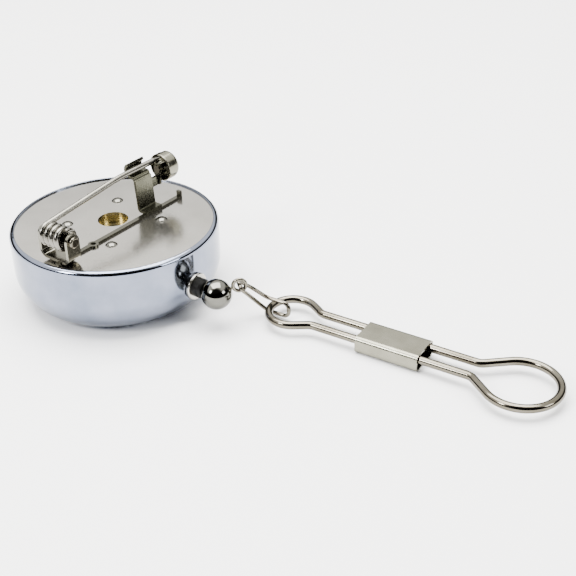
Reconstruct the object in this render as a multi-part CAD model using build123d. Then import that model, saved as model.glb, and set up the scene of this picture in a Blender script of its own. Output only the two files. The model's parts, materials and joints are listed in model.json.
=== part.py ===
from build123d import *
import math
import os

os.makedirs("parts", exist_ok=True)

# Millimetres. Origin: centre of the case's flat front face, which the reel rests on.
# +X: the way the line comes out of the case. +Z: from the front face to the back plate.

# ---- case ----
case_radius = 16.0
case_wall = 0.45
plate_ledge = 0.2
face_corner_radius = 5.7
rim_top = 11.65
rim_roll_radius = 0.72
rim_lip_inner_radius = 15.2
rim_lip_round = 0.06
plate_top = 11.4
plate_thickness = 0.5
plate_gap = 0.03
plate_radius = case_radius - case_wall - plate_gap
hub_hole_radius = 2.35
hub_centre = (-0.8, 0.5)

# ---- shared ----
seat_gap = 0.02
running_clearance = 0.05
cut_reach = 20.0

# ---- stakes that hold the arbor plate under the back plate ----
stake_circle_radius = 7.2
stake_angles = (131, 41, -49, 221)
stake_head_radius = 0.92
stake_head_height = 0.42
stake_shank_radius = 0.45
stake_tail_radius = 0.82
stake_tail_height = 0.25

# ---- arbor and spool ----
arbor_outer_radius = 2.6
arbor_wall = 0.25
arbor_foot_z = 1.3
arbor_foot_radius = 3.7
arbor_foot_thickness = 0.3
arbor_floor_top = 9.7
arbor_floor_thickness = 0.3
arbor_slit_z = 8.1
arbor_slit_width = 0.35
arbor_slit_length = 2.0
arbor_plate_radius = 9.2
arbor_plate_thickness = 0.5
line_z = 5.5
line_radius = 0.4
spool_radius = 13.6
spool_hub_radius = 8.8
winding_radius = 12.2
groove_width = 1.7
flange_thickness = 0.5
spool_boss_radius = 3.9
spool_relief_radius = 8.0
spool_relief_floor = 0.3
spool_ribs = 6
spool_rib_start = 15
spool_rib_thickness = 0.6
cup_setback = 0.9
cup_wall = 0.6
spring_cup_top = 9.9
spring_strip = 0.14
spring_turns = 9
spring_inner_gap = 0.35
spring_outer_gap = 0.25
spring_end_gap = 0.12
spring_points_per_turn = 12
cover_thickness = 0.25
cover_hole_radius = 3.1
washer_radius = 5.2
washer_thickness = 0.3

# ---- line outlet and stop ball ----
eyelet_flange_radius = 2.1
eyelet_flange_thickness = 0.45
eyelet_barrel_radius = 1.75
eyelet_inner_face = 15.05
eyelet_roll = 0.2
bush_core_radius = 1.35
bush_nose_radius = 1.5
bush_nose_reach = 17.83
bush_nose_chamfer = 0.3
bush_bore_radius = 0.62
ball_centre = (20.12, 0.0, line_z)
ball_radius = 2.32
ball_cavity_radius = 1.35
ball_line_hole_radius = 0.48
ball_swivel_hole_radius = 0.34
knot_radius = 0.62
knot_setback = 0.62
mouth_setback = 1.0
lead_bend_radius = 1.2

# ---- swivel eye ----
swivel_azimuth = 44.0
swivel_elevation = 20.0
swivel_wire_radius = 0.28
swivel_shank_radius = 0.26
swivel_shank_overlap = 0.2
swivel_ring_radius = 0.95
swivel_ring_distance = 3.62
swivel_head_radius = 0.62
swivel_head_inner = 0.62
swivel_head_outer = 1.0

# ---- snap hook ----
hook_tip = (25.07, 6.85)
hook_z = 1.75
hook_yaw = 5.4
hook_wire_radius = 0.62
hook_half_spacing = 1.7
hook_length = 44.9
eye_radius = 3.6
eye_bend = 7.7
loop_radius = 5.35
loop_bend = 33.0
bend_fillet = 1.6
wire_gap = 0.9
sleeve_length = 9.8
sleeve_centre = 20.4
sleeve_wall = 0.25
sleeve_half_width = 2.68
sleeve_slack = 0.05
sleeve_corner = 0.7
sleeve_seam = 0.3

# ---- connector link ----
link_wire_radius = 0.31
link_near_half = 0.98
link_far_half = 1.13
link_waist_half = 0.95
link_reach = 2.9
link_near_offset = 0.03
link_knee_back = 0.85
link_knee_side = 0.15
link_knee_rise = 0.15
link_shoulder_share = 0.55
link_shoulder_back = 0.45
link_shoulder_side = 0.25
link_bends = (0.7, 2.5, 1.6, 0.9)

# ---- pin: base bar and hinge ----
bar_left = 2.3
bar_right = 3.05
bar_front = -14.4
bar_back = 12.2
bar_top = 11.75
bar_end_top = 12.6
bar_end_thickness = 0.45
bar_corner = 0.2
bar_eye = (2.75, -7.2)
bar_eye_radius = 0.8
bar_eye_hole = 0.42
pivot = (1.95, -12.8, 15.25)
strap_half_length = 3.0
strap_corner = 1.3
strap_thickness = 0.45
strap_half_width = 1.2
hinge_rivet_radius = 0.55
rivet_head_radius = 0.85
rivet_head_length = 0.5
rivet_head_round = 0.3

# ---- pin: needle ----
needle_radius = 0.45
needle_start = (-0.07, -11.3, 16.85)
needle_bend = (0.35, 1.5, 18.41)
needle_end = (0.62, 11.1, 18.41)
needle_bend_radius = 40.0
needle_point = 2.2
needle_tip_radius = 0.05
knuckle_extra = 0.015
coil_radius = 1.41
coil_pitch = 1.0
coil_turns = 4

# ---- pin: catch ----
curl_radius = 1.0
curl_shift = 0.2
curl_end_angle = 112
catch_front = 4.0
catch_back = 7.5
strip_thickness = 0.45
strip_foot_bend = 0.4
strip_top_bend = 0.6
strip_heel_x = 1.5
strip_shin_x = 1.05
rotor_y = 10.6
rotor_beside_needle = 0.9
rotor_below_needle = 1.1
rotor_radius = 2.2
rotor_length = 2.4
rotor_back_round = 0.8
rotor_front_round = 0.12
rotor_hub_radius = 0.75
rotor_shell = 0.28
rotor_cap = 0.4
rotor_pin_radius = 0.4
rotor_pin_head_radius = 0.7
rotor_pin_head_length = 0.35
rotor_pin_head_round = 0.2
rotor_pin_tail_radius = 0.6
rotor_pin_tail_length = 0.25
rotor_turn = 100
rotor_end_gap = 0.08
slot_half_width = 0.55
stop_thickness = 0.4
stop_margin = 24.5
lug_thickness = 0.45
lug_radius = 0.85
lug_web_foot = (-0.7, 0.1)
lug_web_drop = 2.7
bridge_length = 2.5
bridge_height = 1.5


def save(solid, node):
    assert solid.volume > 0, node
    solid.label = node
    export_step(solid, f"parts/{node}.step")
    print(f"{node:18s} {solid.volume:9.3f} mm3")


def one(shape):
    """The single solid inside a boolean result."""
    solids = shape.solids()
    assert len(solids) == 1, len(solids)
    return solids[0]


def at_hub(shape):
    return Location((hub_centre[0], hub_centre[1], 0)) * shape


def upright(radius, low, high, x=0.0, y=0.0):
    """A solid cylinder about a vertical axis, between two heights."""
    placed = Location((x, y, (low + high) / 2))
    return placed * Cylinder(radius, high - low)


def tube(outer, inner, low, high):
    return upright(outer, low, high) - upright(inner, low - 1, high + 1)


def along(direction, base, radius, start, end):
    """A solid cylinder on the line from base along direction, between two distances."""
    d = Vector(*direction).normalized()
    origin = Vector(*base) + d * start
    standing = (Align.CENTER, Align.CENTER, Align.MIN)
    return Plane(origin=origin, z_dir=d) * Cylinder(radius, end - start, align=standing)


def on_line(radius, start, end):
    """A solid cylinder on the line's own axis, between two distances from the case's centre."""
    return along((1, 0, 0), (0, 0, line_z), radius, start, end)


def revolve_profile(points, fillets=()):
    """Turns a closed outline of (radius, height) points about Z; fillets are (index, radius)."""
    outline = Polyline(*[(r, 0, z) for r, z in points], close=True)
    face = make_face(outline)
    for index, radius in fillets:
        r, z = points[index]
        corner = [v for v in face.vertices() if abs(v.X - r) < 1e-6 and abs(v.Z - z) < 1e-6]
        face = fillet(corner, radius)
    return revolve(face, Axis.Z)


# ---------------------------------------------------------------- case

def case_shell():
    """Drawn cup with a large face radius, its rim rolled in over the back plate."""
    outer = [(0, 0), (case_radius, 0), (case_radius, rim_top), (0, rim_top)]
    body = revolve_profile(outer, ((1, face_corner_radius), (2, rim_roll_radius)))
    inner_radius = case_radius - case_wall - plate_ledge
    inner = [(0, case_wall), (inner_radius, case_wall), (inner_radius, plate_top), (0, plate_top)]
    cavity = revolve_profile(inner, ((1, face_corner_radius - case_wall),))
    cavity += upright(case_radius - case_wall, plate_top - plate_thickness, plate_top)
    mouth = upright(rim_lip_inner_radius, plate_top - 0.1, rim_top + 1)
    hole = on_line(eyelet_barrel_radius + seat_gap, eyelet_inner_face - 1, cut_reach)
    shell = one(body - cavity - mouth - hole)
    lip_edge = [e for e in shell.edges().filter_by(GeomType.CIRCLE)
                if abs(e.radius - rim_lip_inner_radius) < 1e-3 and abs(e.center().Z - rim_top) < 1e-3]
    return one(fillet(lip_edge, rim_lip_round))


def back_plate():
    """Flat cover with the hub hole and four stake holes."""
    plate = upright(plate_radius, plate_top - plate_thickness, plate_top)
    plate -= upright(hub_hole_radius, 0, cut_reach, *hub_centre)
    for angle in stake_angles:
        x, y = stake_position(angle)
        plate -= upright(stake_shank_radius, 0, cut_reach, x, y)
    return one(plate)


def stake_position(angle):
    a = math.radians(angle)
    return stake_circle_radius * math.cos(a), stake_circle_radius * math.sin(a)


def plate_stakes():
    """Four round-headed stakes through the back plate and the arbor plate."""
    sphere_radius = (stake_head_radius ** 2 + stake_head_height ** 2) / (2 * stake_head_height)
    bottom = plate_top - plate_thickness - arbor_plate_thickness
    stakes = []
    for angle in stake_angles:
        x, y = stake_position(angle)
        dome = Location((x, y, plate_top + stake_head_height - sphere_radius)) * Sphere(sphere_radius)
        dome &= upright(stake_head_radius + 0.2, plate_top, plate_top + 1, x, y)
        shank = upright(stake_shank_radius, bottom, plate_top, x, y)
        tail = upright(stake_tail_radius, bottom - stake_tail_height, bottom, x, y)
        stakes.append(one(dome + shank + tail))
    return Compound(children=stakes)


def arbor_plate():
    """Steel disc under the back plate that carries the arbor."""
    top = plate_top - plate_thickness
    plate = upright(arbor_plate_radius, top - arbor_plate_thickness, top)
    plate -= upright(arbor_outer_radius, 0, cut_reach, *hub_centre)
    for angle in stake_angles:
        x, y = stake_position(angle)
        plate -= upright(stake_shank_radius, 0, cut_reach, x, y)
    return one(plate)


def hollow_arbor():
    """Brass tube that the spool turns on, open at the hub hole, with a slit for the spring."""
    top = plate_top - plate_thickness
    inner = arbor_outer_radius - arbor_wall
    tube_body = tube(arbor_outer_radius, inner, arbor_foot_z, top)
    foot = tube(arbor_foot_radius, inner, arbor_foot_z - arbor_foot_thickness, arbor_foot_z)
    slit_place = Location((arbor_outer_radius - arbor_wall / 2, 0, arbor_slit_z))
    slit = slit_place * Box(4 * arbor_wall, arbor_slit_width, arbor_slit_length)
    floor = upright(inner + 0.01, arbor_floor_top - arbor_floor_thickness, arbor_floor_top)
    return one(at_hub(tube_body + foot + floor - slit))


def thrust_washer():
    """Slip washer between the arbor's foot and the spool."""
    low = arbor_foot_z + running_clearance
    bore = arbor_outer_radius + running_clearance
    return one(at_hub(tube(washer_radius, bore, low, low + washer_thickness)))


def line_eyelet():
    """Flanged metal eyelet set in the wall where the line comes out."""
    barrel_body = on_line(eyelet_barrel_radius, eyelet_inner_face, case_radius + 0.1)
    flange = on_line(eyelet_flange_radius, case_radius, case_radius + eyelet_flange_thickness)
    outer_edge = flange.edges().filter_by(GeomType.CIRCLE).sort_by(Axis.X)[-1]
    bore = on_line(bush_core_radius, eyelet_inner_face - 1, cut_reach)
    return one(barrel_body + fillet(outer_edge, eyelet_roll) - bore)


def line_bush():
    """Black bush in the eyelet; its nose is the seat that the stop ball rests on."""
    flange_face = case_radius + eyelet_flange_thickness
    core = on_line(bush_core_radius, eyelet_inner_face, flange_face)
    nose = on_line(bush_nose_radius, flange_face, bush_nose_reach)
    nose_edge = nose.edges().filter_by(GeomType.CIRCLE).sort_by(Axis.X)[-1]
    bore = on_line(bush_bore_radius, eyelet_inner_face - 1, cut_reach)
    return one(core + chamfer(nose_edge, bush_nose_chamfer) - bore)


# ---------------------------------------------------------------- spool

groove_low = line_z - groove_width / 2
groove_high = line_z + groove_width / 2
cup_floor = groove_high + flange_thickness
cup_inner_radius = spool_radius - cup_setback - cup_wall
spool_bore_radius = arbor_outer_radius + running_clearance


def spool():
    """Drum with the line groove below and the spring cup above."""
    low = groove_low - flange_thickness
    profile = [
        (spool_bore_radius, low),
        (spool_radius, low),
        (spool_radius, groove_low),
        (spool_hub_radius, groove_low),
        (spool_hub_radius, groove_high),
        (spool_radius, groove_high),
        (spool_radius, cup_floor),
        (cup_inner_radius + cup_wall, cup_floor),
        (cup_inner_radius + cup_wall, spring_cup_top),
        (cup_inner_radius, spring_cup_top),
        (cup_inner_radius, cup_floor),
        (spool_bore_radius, cup_floor),
    ]
    drum = revolve_profile(profile)
    relief = tube(spool_relief_radius, spool_boss_radius, low - 1, groove_high - spool_relief_floor)
    rib_middle = (spool_boss_radius + spool_relief_radius) / 2
    rib_length = spool_relief_radius - spool_boss_radius + cup_wall
    rib = Location((rib_middle, 0, line_z)) * Box(rib_length, spool_rib_thickness, cup_floor - low)
    ribs = Part()
    for index in range(spool_ribs):
        ribs += Rot(0, 0, 360 / spool_ribs * index + spool_rib_start) * rib
    ribs &= tube(spool_relief_radius + 0.1, spool_boss_radius - 0.1, low, cup_floor)
    return one(at_hub(drum - relief + ribs))


def spiral_point(radius, angle):
    return Vector(radius * math.cos(angle), radius * math.sin(angle))


def mainspring():
    """Flat spiral strip from the arbor's slit to the wall of the spool's cup."""
    start_radius = arbor_outer_radius + spring_inner_gap
    end_radius = cup_inner_radius - spring_outer_gap
    steps = spring_turns * spring_points_per_turn
    growth = (end_radius - start_radius) / (2 * math.pi * spring_turns)
    angles = [2 * math.pi * spring_turns * k / steps for k in range(steps + 1)]
    inner = [spiral_point(start_radius + growth * a, a) for a in angles]
    outer = [spiral_point(start_radius + spring_strip + growth * a, a) for a in angles]
    inner_edge = Spline(*inner)
    outer_edge = Spline(*outer)
    ends = [Line(inner[0], outer[0]), Line(inner[-1], outer[-1])]
    face = make_face([inner_edge, outer_edge, *ends])
    low = cup_floor + spring_end_gap
    strip = extrude(Location((0, 0, low)) * face, spring_cup_top - spring_end_gap - low)
    return one(at_hub(strip))


def spring_cover():
    """Thin disc that closes the spring cup and turns with the spool."""
    outer = cup_inner_radius + cup_wall
    return one(at_hub(tube(outer, cover_hole_radius, spring_cup_top, spring_cup_top + cover_thickness)))


def line_winding():
    """The wound turns of line in the spool's groove."""
    return one(at_hub(tube(winding_radius, spool_hub_radius, groove_low, groove_high)))


# ---------------------------------------------------------------- line end

mouth_point = Vector(case_radius - mouth_setback, 0, line_z)
lead_radius = winding_radius + line_radius
hub_to_mouth = math.hypot(mouth_point.X - hub_centre[0], hub_centre[1])
mouth_bearing = math.atan2(-hub_centre[1], mouth_point.X - hub_centre[0])
tangent_angle = mouth_bearing - math.acos(lead_radius / hub_to_mouth)
lead_start = Vector(hub_centre[0] + lead_radius * math.cos(tangent_angle),
                    hub_centre[1] + lead_radius * math.sin(tangent_angle), line_z)
knot_x = ball_centre[0] - knot_setback
knot_face = knot_radius - seat_gap


def line_lead():
    """The line from its winding, through the bush, to the stop ball."""
    end = Vector(knot_x - knot_face, 0, line_z)
    path = FilletPolyline(lead_start, mouth_point, end, radius=lead_bend_radius)
    section = Plane(origin=path @ 0, z_dir=path % 0) * Circle(line_radius)
    return one(sweep(section, path=path))


def line_knot():
    """Knot that holds the line inside the stop ball."""
    ball = Location((knot_x, 0, line_z)) * Sphere(knot_radius)
    cut = along((-1, 0, 0), (knot_x, 0, line_z), 2 * knot_radius, knot_face, 2 * knot_radius)
    return one(ball - cut)


def polar(azimuth, elevation):
    a, e = math.radians(azimuth), math.radians(elevation)
    return Vector(math.cos(a) * math.cos(e), math.sin(a) * math.cos(e), math.sin(e))


swivel_axis = polar(swivel_azimuth, swivel_elevation)
swivel_up = polar(swivel_azimuth, swivel_elevation + 90)
swivel_side = swivel_axis.cross(swivel_up)
ring_centre = Vector(*ball_centre) + swivel_axis * swivel_ring_distance


def stop_ball():
    """Hollow ball: the line is knotted in it, and the swivel's head turns in it."""
    ball = Location(ball_centre) * Sphere(ball_radius)
    cavity = Location(ball_centre) * Sphere(ball_cavity_radius)
    line_hole = along((-1, 0, 0), ball_centre, ball_line_hole_radius, 0, cut_reach)
    swivel_hole = along(tuple(swivel_axis), ball_centre, ball_swivel_hole_radius, 0, cut_reach)
    return one(ball - cavity - line_hole - swivel_hole)


def swivel_eye():
    """Wire ring on a headed shank that turns in the stop ball; the ring is joined half by half."""
    section = Plane.XZ * Location((swivel_ring_radius, 0)) * Circle(swivel_wire_radius)
    half_ring = revolve(section, Axis.Z, revolution_arc=180)
    ring_place = Location((swivel_ring_distance, 0, 0))
    shank_end = swivel_ring_distance - swivel_ring_radius + swivel_shank_overlap
    shank = along((1, 0, 0), (0, 0, 0), swivel_shank_radius, swivel_head_inner, shank_end)
    head = along((1, 0, 0), (0, 0, 0), swivel_head_radius, swivel_head_inner, swivel_head_outer)
    body = ring_place * Rot(0, 0, 90) * half_ring + shank + head
    body += ring_place * Rot(0, 0, -90) * half_ring
    placing = Plane(origin=ball_centre, x_dir=swivel_axis, z_dir=swivel_side)
    return one(placing * body)


# ---------------------------------------------------------------- hook

hook_along = polar(hook_yaw, 0)
hook_across = polar(hook_yaw + 90, 0)
hook_origin = Vector(hook_tip[0], hook_tip[1], hook_z)
hook_frame = Plane(origin=hook_origin, x_dir=hook_along, z_dir=(0, 0, 1))


def tangent_point(centre_x, radius, bend_x, bend_y, towards):
    """Where the line from a bend touches the circle at one end of the hook."""
    dx, dy = bend_x - centre_x, bend_y
    reach = math.hypot(dx, dy)
    angle = math.atan2(dy, dx) + towards * math.acos(radius / reach)
    return centre_x + radius * math.cos(angle), radius * math.sin(angle)


def hook_wire():
    """One wire: an eye, two close strands and a large loop; its two ends meet in the sleeve."""
    loop_x = hook_length - loop_radius
    eye_t = tangent_point(eye_radius, eye_radius, eye_bend, hook_half_spacing, 1)
    loop_t = tangent_point(loop_x, loop_radius, loop_bend, hook_half_spacing, -1)
    s = hook_half_spacing
    gap = wire_gap / 2
    upper = [(eye_t[0], eye_t[1]), (eye_bend, s), (loop_bend, s), loop_t]
    near_eye = [(sleeve_centre - gap, -s), (eye_bend, -s), (eye_t[0], -eye_t[1])]
    near_loop = [(loop_t[0], -loop_t[1]), (loop_bend, -s), (sleeve_centre + gap, -s)]
    eye_arc = ThreePointArc((eye_t[0], -eye_t[1]), (0, 0), eye_t)
    loop_arc = ThreePointArc(loop_t, (hook_length, 0), (loop_t[0], -loop_t[1]))
    path = Wire([
        *FilletPolyline(*near_eye, radius=bend_fillet).edges(),
        eye_arc.edge(),
        *FilletPolyline(*upper, radius=bend_fillet).edges(),
        loop_arc.edge(),
        *FilletPolyline(*near_loop, radius=bend_fillet).edges(),
    ])
    section = Plane(origin=path @ 0, z_dir=path % 0) * Circle(hook_wire_radius)
    return one(hook_frame * sweep(section, path=path))


sleeve_top = hook_wire_radius + sleeve_slack + sleeve_wall
sleeve_bottom = -hook_z + seat_gap


def hook_sleeve():
    """Bent-sheet sleeve that slides on the two strands and locks the loop shut."""
    height = sleeve_top - sleeve_bottom
    middle = (sleeve_top + sleeve_bottom) / 2
    outer = RectangleRounded(2 * sleeve_half_width, height, sleeve_corner)
    inner = RectangleRounded(2 * (sleeve_half_width - sleeve_wall), height - 2 * sleeve_wall,
                             sleeve_corner - sleeve_wall)
    end_x = sleeve_centre - sleeve_length / 2
    start = Plane(origin=(end_x, 0, middle), x_dir=(0, 1, 0), z_dir=(1, 0, 0))
    seam = Location((sleeve_centre, 0, sleeve_bottom)) * Box(
        2 * sleeve_length, sleeve_seam, 4 * sleeve_wall)
    return one(hook_frame * (extrude(start * (outer - inner), sleeve_length) - seam))


# ---------------------------------------------------------------- link

def connector_link():
    """Closed wire link, curved and turned a quarter, from the swivel ring to the hook's eye."""
    up = Vector(0, 0, 1)
    far = hook_origin + hook_along * link_reach
    knee = hook_origin - hook_along * link_knee_back - hook_across * link_knee_side + up * link_knee_rise
    near = ring_centre + swivel_axis * link_near_offset
    shoulder = near + (knee - near) * link_shoulder_share
    shoulder = shoulder - hook_along * link_shoulder_back + hook_across * link_shoulder_side
    heading = (shoulder - near).normalized()
    near_wide = (heading * swivel_side.dot(heading) - swivel_side).normalized()
    middle_wide = (near_wide + up).normalized()
    halves = []
    for side in (1, -1):
        corners = [
            near,
            near + near_wide * link_near_half * side,
            shoulder + middle_wide * link_waist_half * side,
            knee + up * link_far_half * side,
            far + up * link_far_half * side,
            far,
        ]
        path = FilletPolyline(*corners, radius=list(link_bends))
        section = Plane(origin=path @ 0, z_dir=path % 0) * Circle(link_wire_radius)
        halves.append(sweep(section, path=path))
    return one(halves[0] + halves[1])


# ---------------------------------------------------------------- pin

first_run = Vector(*needle_bend) - Vector(*needle_start)
last_run = Vector(*needle_end) - Vector(*needle_bend)
needle_direction = last_run.normalized()
needle_yaw = math.degrees(math.atan2(-last_run.X, last_run.Y))
needle_rise = math.degrees(math.asin(needle_direction.Z))


def on_needle(y):
    """The point of the needle's centreline at a given y, leaving out the rounding of its bend."""
    run = first_run if y < needle_bend[1] else last_run
    return Vector(*needle_bend) + run * ((y - needle_bend[1]) / run.Y)


def base_bar():
    """Narrow bar soldered to the back plate, with a pierced eye, turned up at its catch end."""
    middle = (bar_left + bar_right) / 2
    height = bar_top - plate_top
    bar = Location((middle, (bar_front + bar_back) / 2, plate_top + height / 2)) * Box(
        bar_right - bar_left, bar_back - bar_front, height)
    bar = fillet(bar.edges().filter_by(Axis.Z), bar_corner)
    end_height = bar_end_top - plate_top
    end_y = bar_back - bar_end_thickness / 2
    end = Location((middle, end_y, plate_top + end_height / 2)) * Box(
        bar_right - bar_left, bar_end_thickness, end_height)
    eye = upright(bar_eye_radius, plate_top, bar_top, *bar_eye)
    hole = upright(bar_eye_hole, plate_top - 1, bar_top + 1, *bar_eye)
    return one(bar + end + eye - hole)


def hinge_bracket():
    """U-shaped strap on the bar; its two round-topped ears hold the rivet."""
    x, y, z = pivot
    left = x - strap_half_length
    right = x + strap_half_length
    drop = z - bar_top
    channel_plane = Plane(origin=(x, y - strap_half_width, bar_top), x_dir=(1, 0, 0), z_dir=(0, -1, 0))
    inner_corner = strap_corner - strap_thickness
    outer = Location((0, drop)) * RectangleRounded(2 * strap_half_length, 2 * drop, strap_corner)
    inner = Location((0, drop)) * RectangleRounded(
        2 * (strap_half_length - strap_thickness), 2 * (drop - strap_thickness), inner_corner)
    channel = extrude(channel_plane * (outer - inner), -2 * strap_half_width)
    above = Location((x, y, z + cut_reach / 2)) * Box(cut_reach, cut_reach, cut_reach)
    ears = Part()
    for start in (left, right - strap_thickness):
        ears += along((1, 0, 0), (0, y, z), strap_half_width, start, start + strap_thickness)
    ears &= Location((0, 0, -seat_gap)) * above
    bore = along((1, 0, 0), (0, y, z), hinge_rivet_radius, -cut_reach, cut_reach)
    return one(channel - above + ears - bore)


def hinge_rivet():
    """Rivet through both ears, headed at each end."""
    x, y, z = pivot
    left = x - strap_half_length
    right = x + strap_half_length
    body = along((1, 0, 0), (0, y, z), hinge_rivet_radius, left, right)
    for start, side in ((left - rivet_head_length, 0), (right, -1)):
        head = along((1, 0, 0), (0, y, z), rivet_head_radius, start, start + rivet_head_length)
        outer_edge = head.edges().filter_by(GeomType.CIRCLE).sort_by(Axis.X)[side]
        body += fillet(outer_edge, rivet_head_round)
    return one(body)


def pin_needle():
    """Spring wire: a coil round the rivet, the slightly bowed needle and its ground point."""
    x, y, z = pivot
    helix = Helix(coil_pitch, coil_pitch * coil_turns, coil_radius)
    section = Plane(origin=helix @ 0, z_dir=helix % 0) * Circle(needle_radius)
    coil = sweep(section, path=helix, is_frenet=True)
    first_rise = math.asin(first_run.normalized().Z)
    tangent = on_needle(y - coil_radius * math.sin(first_rise))
    coil_up = Vector(0, tangent.Y - y, tangent.Z - z).normalized()
    coil = Plane(origin=(tangent.X, y, z), x_dir=coil_up, z_dir=(1, 0, 0)) * coil
    start = Vector(tangent.X, y, z) + coil_up * coil_radius
    point_start = Vector(*needle_end) - needle_direction * needle_point
    path = FilletPolyline(start, Vector(*needle_bend), point_start, radius=needle_bend_radius)
    shaft = sweep(Plane(origin=start, z_dir=path % 0) * Circle(needle_radius), path=path)
    standing = (Align.CENTER, Align.CENTER, Align.MIN)
    tip = Plane(origin=point_start, z_dir=needle_direction) * Cone(
        needle_radius, needle_tip_radius, needle_point, align=standing)
    knuckle = Location(start) * Sphere(needle_radius + knuckle_extra)
    return one(coil + knuckle + shaft + tip)


rotor_axis_point = on_needle(rotor_y) + Vector(rotor_beside_needle, 0, -rotor_below_needle)
rotor_front = -rotor_length / 2
rotor_back = rotor_length / 2
lug_back = rotor_front - rotor_end_gap
lug_front = lug_back - lug_thickness
needle_bearing = math.degrees(math.atan2(rotor_below_needle, -rotor_beside_needle))


def in_catch(shape):
    """Places a shape built about the rotor's axis; local +Y is towards the needle's point."""
    return Location(rotor_axis_point) * Rot(0, 0, needle_yaw) * Rot(needle_rise, 0, 0) * shape


def barrel(radius, start, end):
    """A solid cylinder about the rotor's axis."""
    return along((0, 1, 0), (0, 0, 0), radius, start, end)


def catch_strip():
    """Strip from the bar that leans in under the needle and curls round behind it."""
    line = on_needle((catch_front + catch_back) / 2)
    centre_x = line.X - curl_shift
    centre_z = line.Z
    foot_z = bar_top + strip_thickness / 2
    end_angle = math.radians(curl_end_angle)

    def placed(x, z):
        return Vector(x, catch_front, z)

    def on_curl(angle):
        return placed(centre_x + curl_radius * math.cos(angle), centre_z + curl_radius * math.sin(angle))

    bottom = on_curl(-math.pi / 2)
    shin = placed(strip_shin_x, centre_z - curl_radius)
    legs = FilletPolyline(placed(bar_right, foot_z), placed(strip_heel_x, foot_z), shin, bottom,
                          radius=[strip_foot_bend, strip_top_bend])
    curl = ThreePointArc(bottom, on_curl((end_angle - 2.5 * math.pi) / 2), on_curl(end_angle))
    path = Wire([*legs.edges(), curl.edge()])
    across = catch_back - catch_front
    start = Plane(origin=path @ 0, x_dir=(0, 1, 0), z_dir=path % 0)
    section = start * Location((across / 2, 0)) * Rectangle(across, strip_thickness)
    return sweep(section, path=path, transition=Transition.RIGHT)


def catch_post():
    """The catch's strip and, joined to its back edge, the lug that the rotor turns against."""
    disc = barrel(lug_radius, lug_front, lug_back)
    web_plane = Plane(origin=(0, lug_back, 0), x_dir=(1, 0, 0), z_dir=(0, -1, 0))
    foot_left, foot_right = lug_web_foot
    web = Polyline((-lug_radius, 0), (foot_left, -lug_web_drop), (foot_right, -lug_web_drop),
                   (lug_radius, 0), close=True)
    lug = disc + extrude(web_plane * make_face(web), lug_thickness)
    bridge_x = (foot_left + foot_right) / 2
    bridge_z = bridge_height / 2 - lug_web_drop
    bridge = Location((bridge_x, lug_back - bridge_length / 2, bridge_z)) * Box(
        strip_thickness, bridge_length, bridge_height)
    bore = barrel(rotor_pin_radius, -cut_reach, cut_reach)
    tail_room = barrel(rotor_pin_tail_radius, lug_front - 2 * rotor_pin_tail_length, lug_front)
    return one(catch_strip() + in_catch(lug + bridge) - in_catch(bore + tail_room))


def rotor_pin():
    """Rivet that the rotor turns on, fixed in the lug and headed behind the rotor."""
    head_start = rotor_back + running_clearance
    shank = barrel(rotor_pin_radius, lug_front, head_start)
    tail = barrel(rotor_pin_tail_radius, lug_front - rotor_pin_tail_length, lug_front)
    head = barrel(rotor_pin_head_radius, head_start, head_start + rotor_pin_head_length)
    outer_edge = head.edges().filter_by(GeomType.CIRCLE).sort_by(Axis.Y)[-1]
    return one(in_catch(shank + tail + fillet(outer_edge, rotor_pin_head_round)))


def catch_rotor():
    """Drum that locks the needle: it lies in the open slot, and a part turn closes the slot over it.

    Two webs in the groove meet the needle at the two ends of the turn.
    """
    drum = barrel(rotor_radius, rotor_front, rotor_back)
    back_edge = drum.edges().filter_by(GeomType.CIRCLE).sort_by(Axis.Y)[-1]
    drum = fillet(back_edge, rotor_back_round)
    front_edge = drum.edges().filter_by(GeomType.CIRCLE).sort_by(Axis.Y)[0]
    drum = fillet(front_edge, rotor_front_round)
    groove_radius = rotor_radius - rotor_shell
    groove = barrel(groove_radius, rotor_front - 1, rotor_back - rotor_cap)
    groove -= barrel(rotor_hub_radius, -cut_reach, cut_reach)
    web = Location((groove_radius / 2 + rotor_hub_radius / 2, 0, 0)) * Box(
        groove_radius - rotor_hub_radius + rotor_shell, 2 * rotor_length, stop_thickness)
    for bearing in (needle_bearing + stop_margin, needle_bearing - rotor_turn - stop_margin):
        groove -= Rot(0, -bearing, 0) * web
    slot_back = rotor_back - rotor_cap
    slot_length = slot_back - rotor_front + 1
    slot = Location((-rotor_beside_needle, slot_back - slot_length / 2, rotor_below_needle + 2)) * Box(
        2 * slot_half_width, slot_length, 4)
    bore = barrel(rotor_pin_radius + running_clearance, -cut_reach, cut_reach)
    return one(in_catch(drum - groove - slot - bore))


nodes = {
    "case_shell": case_shell,
    "back_plate": back_plate,
    "plate_stakes": plate_stakes,
    "arbor_plate": arbor_plate,
    "hollow_arbor": hollow_arbor,
    "thrust_washer": thrust_washer,
    "line_eyelet": line_eyelet,
    "line_bush": line_bush,
    "spool": spool,
    "mainspring": mainspring,
    "spring_cover": spring_cover,
    "line_winding": line_winding,
    "line_lead": line_lead,
    "line_knot": line_knot,
    "stop_ball": stop_ball,
    "swivel_eye": swivel_eye,
    "connector_link": connector_link,
    "hook_wire": hook_wire,
    "hook_sleeve": hook_sleeve,
    "base_bar": base_bar,
    "hinge_bracket": hinge_bracket,
    "hinge_rivet": hinge_rivet,
    "pin_needle": pin_needle,
    "catch_post": catch_post,
    "rotor_pin": rotor_pin,
    "catch_rotor": catch_rotor,
}

for node, make in nodes.items():
    save(make(), node)
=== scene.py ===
import json
import math

import bpy
from mathutils import Matrix, Vector


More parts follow.
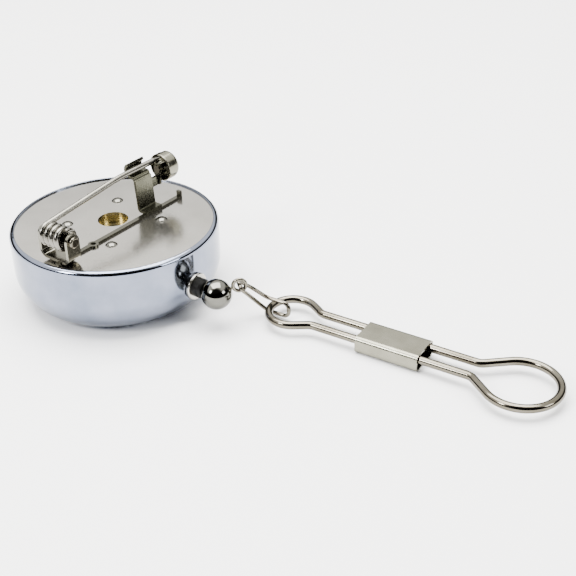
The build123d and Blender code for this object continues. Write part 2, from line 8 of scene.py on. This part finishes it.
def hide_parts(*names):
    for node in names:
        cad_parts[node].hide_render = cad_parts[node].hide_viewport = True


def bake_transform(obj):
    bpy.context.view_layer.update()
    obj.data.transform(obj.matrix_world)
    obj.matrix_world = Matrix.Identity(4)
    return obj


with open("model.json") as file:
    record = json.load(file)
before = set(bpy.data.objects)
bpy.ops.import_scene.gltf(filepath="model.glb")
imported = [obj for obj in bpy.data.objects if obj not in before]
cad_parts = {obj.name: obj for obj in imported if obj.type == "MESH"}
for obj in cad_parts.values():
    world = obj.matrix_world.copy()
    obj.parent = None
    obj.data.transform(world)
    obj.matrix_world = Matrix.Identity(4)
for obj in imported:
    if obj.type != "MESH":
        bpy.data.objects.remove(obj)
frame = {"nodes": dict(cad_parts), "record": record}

# Metres, in the part's frame: +X is the way the line comes out, +Z from the front face to the back plate.
MM = 0.001
UP = Vector((0, 0, 1))
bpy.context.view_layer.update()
scene = bpy.context.scene
nodes = frame["nodes"]


# ---------------------------------------------------------------- camera

CAMERA_PLACE = Vector((111.389, -101.441, 90.229)) * MM
CAMERA_FORWARD = Vector((-0.51878, 0.67464, -0.52509))
CAMERA_UP = Vector((-0.30202, 0.42997, 0.85083))
SENSOR_WIDTH = 36.0
LENS = 68.05
CLIP_START = 2 * MM
CLIP_END = 20.0


def make_camera():
    """The viewing angle: from the right and front, about 32 degrees above the floor."""
    forward = CAMERA_FORWARD.normalized()
    right = forward.cross(CAMERA_UP).normalized()
    up = right.cross(forward)
    data = bpy.data.cameras.new("camera")
    data.sensor_width = SENSOR_WIDTH
    data.lens = LENS
    data.clip_start = CLIP_START
    data.clip_end = CLIP_END
    camera = bpy.data.objects.new("camera", data)
    turn = Matrix((right, up, -forward)).transposed().to_4x4()
    camera.matrix_world = Matrix.Translation(CAMERA_PLACE) @ turn
    scene.collection.objects.link(camera)
    scene.camera = camera


# ---------------------------------------------------------------- shader nodes

def math_node(tree, operation, first, second):
    """A Math node whose inputs are numbers or other nodes' outputs."""
    node = tree.nodes.new("ShaderNodeMath")
    node.operation = operation
    for socket, value in zip(node.inputs, (first, second)):
        if isinstance(value, (int, float)):
            socket.default_value = value
        else:
            tree.links.new(value, socket)
    return node.outputs[0]


def map_range(tree, value, low, high, start, end, interpolation="LINEAR"):
    """Takes low to start and high to end, and holds both beyond them."""
    node = tree.nodes.new("ShaderNodeMapRange")
    node.interpolation_type = interpolation
    node.inputs["From Min"].default_value = low
    node.inputs["From Max"].default_value = high
    node.inputs["To Min"].default_value = start
    node.inputs["To Max"].default_value = end
    tree.links.new(value, node.inputs["Value"])
    return node.outputs[0]


def parts_of(tree, vector):
    """The X, Y and Z of a vector, as outputs by name."""
    node = tree.nodes.new("ShaderNodeSeparateXYZ")
    tree.links.new(vector, node.inputs[0])
    return node.outputs


# ---------------------------------------------------------------- surround, lights and floor

# The tent's brightness by height in the surround: a dark band up to about 0.35, then pale.
TENT_FLOOR = (0.012, 0.012, 0.011, 1)
TENT_TOP = (1.0, 1.0, 1.0, 1)
TENT_TONES = ((0.26, 0.008), (0.35, 0.06), (0.44, 0.80), (0.50, 1.15), (0.75, 1.2))
TENT_WARMTH = (1.0, 0.99, 0.965)
# The dark band rises on the right, by this much of the lean towards it.
BAND_SIDE = (0.9, -0.1, 0.0)
BAND_RISE = 0.26
# The dark front: full light outside a cone about this direction, nearly none inside it. The direction
# is fixed, and was chosen about 5 degrees from the camera's, so it suits that view best.
FRONT = (0.53, -0.72, 0.45)
FRONT_EDGES = (0.50, 0.80)
FRONT_TONE = 0.012
SURROUND_STRENGTH = 2.4

# Each light's place, width and height in metres, power in watts and colour; all aim at one point.
LIGHT_AIM = Vector((0.02, 0.0, 0.005))
AREA_LIGHTS = {
    "key_light": ((-0.06, 0.06, 0.50), (0.50, 0.42), 11.0, (1.0, 0.99, 0.97)),
    "window_light": ((-0.10, -0.36, 0.30), (0.10, 0.14), 2.4, (0.97, 0.98, 1.0)),
    "fill_light": ((0.42, 0.10, 0.22), (0.16, 0.12), 1.0, (0.95, 0.97, 1.0)),
}

FLOOR_HALF = 15.0
FLOOR_TONE = (0.96, 0.96, 0.96, 1)
FLOOR_ROUGHNESS = 0.7


def make_area_light(name, place, size, power, color):
    data = bpy.data.lights.new(name, "AREA")
    data.shape = "RECTANGLE"
    data.size, data.size_y = size
    data.energy = power
    data.color = color
    lamp = bpy.data.objects.new(name, data)
    lamp.location = place
    lamp.rotation_mode = "QUATERNION"
    lamp.rotation_quaternion = (LIGHT_AIM - Vector(place)).to_track_quat("-Z", "Y")
    scene.collection.objects.link(lamp)


def towards(tree, vector, direction):
    """How far a direction of the surround leans towards a given one, from -1 to 1."""
    node = tree.nodes.new("ShaderNodeVectorMath")
    node.operation = "DOT_PRODUCT"
    node.inputs[1].default_value = Vector(direction).normalized()
    tree.links.new(vector, node.inputs[0])
    return node.outputs["Value"]


def tent_color(tree, level):
    """The tent's colour at a height, as a ramp through its tones."""
    ramp = tree.nodes.new("ShaderNodeValToRGB")
    stops = ramp.color_ramp.elements
    stops[0].position, stops[0].color = 0.0, TENT_FLOOR
    stops[1].position, stops[1].color = 1.0, TENT_TOP
    for position, tone in TENT_TONES:
        stops.new(position).color = (*(tone * part for part in TENT_WARMTH), 1)
    tree.links.new(level, ramp.inputs["Fac"])
    return ramp.outputs["Color"]


def make_surround(tree):
    """The room the metal sees: a dark band low down, a pale tent over it and a dark front. It is
    fixed in the room, whichever way the reel is looked at."""
    coords = tree.nodes.new("ShaderNodeTexCoord").outputs["Generated"]
    height = parts_of(tree, coords)["Z"]
    right_lean = math_node(tree, "MAXIMUM", towards(tree, coords, BAND_SIDE), 0.0)
    level = math_node(tree, "SUBTRACT", height, math_node(tree, "MULTIPLY", right_lean, BAND_RISE))
    front = map_range(tree, towards(tree, coords, FRONT), *FRONT_EDGES, 1.0, FRONT_TONE, "SMOOTHSTEP")
    shade = tree.nodes.new("ShaderNodeVectorMath")
    shade.operation = "SCALE"
    tree.links.new(tent_color(tree, level), shade.inputs[0])
    tree.links.new(front, shade.inputs["Scale"])
    return shade.outputs[0]


def make_lights():
    """A broad soft light above, a window at the front left, a fill on the right and the surround."""
    for name, setting in AREA_LIGHTS.items():
        make_area_light(name, *setting)
    world = bpy.data.worlds.new("studio")
    world.use_nodes = True
    scene.world = world
    tree = world.node_tree
    tree.nodes.clear()
    out = tree.nodes.new("ShaderNodeOutputWorld")
    background = tree.nodes.new("ShaderNodeBackground")
    background.inputs["Strength"].default_value = SURROUND_STRENGTH
    tree.links.new(make_surround(tree), background.inputs["Color"])
    tree.links.new(background.outputs[0], out.inputs["Surface"])


def make_floor():
    mesh = bpy.data.meshes.new("floor")
    corners = [(x * FLOOR_HALF, y * FLOOR_HALF, 0) for x, y in ((-1, -1), (1, -1), (1, 1), (-1, 1))]
    mesh.from_pydata(corners, [], [(0, 1, 2, 3)])
    floor = bpy.data.objects.new("floor", mesh)
    scene.collection.objects.link(floor)
    material = bpy.data.materials.new("pale_floor")
    material.use_nodes = True
    shader = material.node_tree.nodes["Principled BSDF"]
    shader.inputs["Base Color"].default_value = FLOOR_TONE
    shader.inputs["Roughness"].default_value = FLOOR_ROUGHNESS
    mesh.materials.append(material)


# ---------------------------------------------------------------- materials

# The part of a noise's range that tone and roughness are spread over.
NOISE_RANGE = (0.3, 0.7)
NOISE_DETAIL = 4.0
# The noise that varies the roughness is coarser than the relief's, by this factor.
ROUGHNESS_GRAIN = 0.35
RELIEF_DEPTH = 0.05 * MM
# Streaks run along the hook's strands, which stand at this turn from the X axis.
ALONG_HOOK = math.radians(-5.4)
STREAK_SCALES = (0.05, 1.0, 1.0)


def mix_tones(tree, factor, low, high):
    """A colour between two tones, by a noise."""
    ramp = tree.nodes.new("ShaderNodeValToRGB")
    for stop, position, tone in zip(ramp.color_ramp.elements, NOISE_RANGE, (low, high)):
        stop.position = position
        stop.color = (*tone, 1)
    tree.links.new(factor, ramp.inputs["Fac"])
    return ramp.outputs["Color"]


def noise(tree, vector, scale):
    node = tree.nodes.new("ShaderNodeTexNoise")
    node.inputs["Scale"].default_value = scale
    node.inputs["Detail"].default_value = NOISE_DETAIL
    tree.links.new(vector, node.inputs["Vector"])
    return node.outputs["Fac"]


def hook_coords(tree, vector):
    """Object coordinates scaled so that a noise runs as streaks along the hook."""
    node = tree.nodes.new("ShaderNodeMapping")
    node.vector_type = "POINT"
    node.inputs["Rotation"].default_value = (0, 0, ALONG_HOOK)
    node.inputs["Scale"].default_value = STREAK_SCALES
    tree.links.new(vector, node.inputs["Vector"])
    return node.outputs[0]


def round_coords(tree, vector):
    """Distance from the Z axis and height, so that a noise runs as rings round the axis."""
    flat = tree.nodes.new("ShaderNodeVectorMath")
    flat.operation = "MULTIPLY"
    flat.inputs[1].default_value = (1, 1, 0)
    tree.links.new(vector, flat.inputs[0])
    reach = tree.nodes.new("ShaderNodeVectorMath")
    reach.operation = "LENGTH"
    tree.links.new(flat.outputs[0], reach.inputs[0])
    join = tree.nodes.new("ShaderNodeCombineXYZ")
    tree.links.new(reach.outputs["Value"], join.inputs["X"])
    tree.links.new(parts_of(tree, vector)["Z"], join.inputs["Z"])
    return join.outputs[0]


def surface(name, tones, roughness, metallic=1.0, streaks=None, patch=220.0, grain=9000.0,
            relief=0.02, specular=0.5):
    """A material with patches of tone, a varying roughness and a fine relief. streaks is None,
    round_coords or hook_coords; patch and grain are noise scales, per metre."""
    material = bpy.data.materials.new(name)
    material.use_nodes = True
    tree = material.node_tree
    shader = tree.nodes["Principled BSDF"]
    shader.inputs["Metallic"].default_value = metallic
    shader.inputs["Specular IOR Level"].default_value = specular
    coords = tree.nodes.new("ShaderNodeTexCoord").outputs["Object"]
    tree.links.new(mix_tones(tree, noise(tree, coords, patch), *tones), shader.inputs["Base Color"])
    fine = streaks(tree, coords) if streaks else coords
    coarse = noise(tree, fine, grain * ROUGHNESS_GRAIN)
    tree.links.new(map_range(tree, coarse, *NOISE_RANGE, *roughness), shader.inputs["Roughness"])
    bump = tree.nodes.new("ShaderNodeBump")
    bump.inputs["Strength"].default_value = relief
    bump.inputs["Distance"].default_value = RELIEF_DEPTH
    tree.links.new(noise(tree, fine, grain), bump.inputs["Height"])
    tree.links.new(bump.outputs[0], shader.inputs["Normal"])
    return material


# Each finish by material slot: its darker and lighter tone, then its lowest and highest roughness.
finishes = {
    "satin_chrome": surface(
        "satin_chrome", ((0.15, 0.172, 0.225), (0.22, 0.24, 0.30)), (0.06, 0.12),
        streaks=round_coords, grain=2600.0, relief=0.06),
    "polished_nickel": surface(
        "polished_nickel", ((0.42, 0.405, 0.37), (0.50, 0.485, 0.45)), (0.14, 0.26),
        patch=160.0, relief=0.04),
    "plain_steel": surface(
        "plain_steel", ((0.25, 0.25, 0.26), (0.34, 0.34, 0.34)), (0.3, 0.45)),
    "brass": surface(
        "turned_brass", ((0.36, 0.30, 0.15), (0.52, 0.45, 0.24)), (0.18, 0.32),
        streaks=round_coords, relief=0.1),
    "nylon": surface(
        "white_nylon", ((0.74, 0.74, 0.71), (0.82, 0.82, 0.79)), (0.42, 0.55), metallic=0.0),
    "black_nylon": surface(
        "black_nylon", ((0.004, 0.004, 0.004), (0.009, 0.009, 0.008)), (0.3, 0.42),
        metallic=0.0, specular=0.12),
    "spring_steel": surface(
        "spring_steel", ((0.13, 0.125, 0.105), (0.21, 0.20, 0.175)), (0.16, 0.3),
        grain=7000.0, relief=0.05),
    "black_line": surface(
        "black_line", ((0.012, 0.012, 0.013), (0.03, 0.03, 0.032)), (0.5, 0.7),
        metallic=0.0, relief=0.3),
    "chrome": surface(
        "ball_chrome", ((0.10, 0.098, 0.084), (0.15, 0.148, 0.13)), (0.05, 0.1), relief=0.01),
    "nickel_wire": surface(
        "nickel_wire", ((0.09, 0.08, 0.06), (0.16, 0.147, 0.118)), (0.08, 0.18),
        streaks=hook_coords, relief=0.04),
    "nickel_sheet": surface(
        "nickel_sheet", ((0.15, 0.145, 0.11), (0.23, 0.222, 0.175)), (0.16, 0.28),
        streaks=hook_coords, relief=0.06),
}

# Darker copies of the slot finishes for some nodes: painted shade on the bar, catch post and hinge
# bracket, and a painted dark reflection on the smoother stakes.
shade_painted_finishes = {
    # Painted shade: a darker copy of its slot's nickel, for the shade and dark reflection along the bar's
    # near edge.
    "base_bar": surface(
        "shaded_bar_nickel", ((0.075, 0.073, 0.055), (0.13, 0.125, 0.10)), (0.16, 0.28), relief=0.06),
    # Painted shade: a darker copy of its slot's nickel, for the shade on the catch post.
    "catch_post": surface(
        "shaded_catch_nickel", ((0.06, 0.06, 0.042), (0.11, 0.107, 0.078)), (0.2, 0.32), relief=0.06),
    # Smoother than the plate's nickel, and darker: the darker tone is a painted dark reflection on the
    # stakes.
    "plate_stakes": surface(
        "polished_stake_painted_dark", ((0.10, 0.098, 0.085), (0.15, 0.147, 0.13)), (0.04, 0.1), relief=0.01),
    # Painted shade: a darker copy of its slot's nickel, for the shade on the hinge bracket.
    "hinge_bracket": surface(
        "shaded_hinge_nickel", ((0.12, 0.115, 0.09), (0.20, 0.192, 0.155)), (0.14, 0.26), relief=0.06),
}


def paint_nodes():
    """Gives every CAD node the finish of its own slot, or for a few nodes a darker copy of it with
    painted shade.
    """
    for part in frame["record"]["subparts"]:
        name, slot = part["node"], part["material_slot"]
        slots = nodes[name].data.materials
        slots.clear()
        slots.append(shade_painted_finishes.get(name, finishes[slot]))


# ---------------------------------------------------------------- the line

LINE_RADIUS = 0.4 * MM
LINE_SIDES = 20
# The winding's centre and the radius at which the line leaves it.
HUB = Vector((-0.8, 0.5, 5.5)) * MM
LEAD_RADIUS = 12.6 * MM
# The wall's hole and the knot's face, with the rings of the tube before and after the hole.
MOUTH = Vector((15.0, 0.0, 5.5)) * MM
KNOT_FACE = Vector((18.9, 0.0, 5.5)) * MM
INNER_RINGS = 40
OUTER_RINGS = 240


def tube_mesh(name, route, radius, sides):
    """A closed round tube whose rings stand on the points of a route."""
    verts = []
    for index, point in enumerate(route):
        before = route[max(index - 1, 0)]
        after = route[min(index + 1, len(route) - 1)]
        heading = (after - before).normalized()
        side = heading.cross(UP).normalized()
        up = side.cross(heading)
        for step in range(sides):
            turn = 2 * math.pi * step / sides
            verts.append(point + (side * math.cos(turn) + up * math.sin(turn)) * radius)
    faces = []
    for ring in range(len(route) - 1):
        low, high = ring * sides, (ring + 1) * sides
        for step in range(sides):
            nearby = (step + 1) % sides
            faces.append((low + step, low + nearby, high + nearby, high + step))
    last = (len(route) - 1) * sides
    faces.append(tuple(reversed(range(sides))))
    faces.append(tuple(range(last, last + sides)))
    mesh = bpy.data.meshes.new(name)
    mesh.from_pydata(verts, [], faces)
    for polygon in mesh.polygons:
        polygon.use_smooth = len(polygon.vertices) == 4
    return mesh


def line_start():
    """Where the line leaves its winding: the point whose tangent runs to the mouth."""
    reach = MOUTH - HUB
    bearing = math.atan2(reach.y, reach.x) - math.acos(LEAD_RADIUS / reach.xy.length)
    return HUB + Vector((math.cos(bearing), math.sin(bearing), 0)) * LEAD_RADIUS


def make_line():
    """The line from its winding, through the wall's hole, to the knot."""
    start = line_start()
    route = [start.lerp(MOUTH, ring / INNER_RINGS) for ring in range(INNER_RINGS)]
    route += [MOUTH.lerp(KNOT_FACE, ring / OUTER_RINGS) for ring in range(OUTER_RINGS + 1)]
    mesh = tube_mesh("line_braid", route, LINE_RADIUS, LINE_SIDES)
    mesh.materials.append(finishes["black_line"])
    line = bpy.data.objects.new("line_braid", mesh)
    scene.collection.objects.link(line)
    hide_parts("line_lead")
    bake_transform(line)


make_camera()
make_lights()
make_floor()
paint_nodes()
make_line()
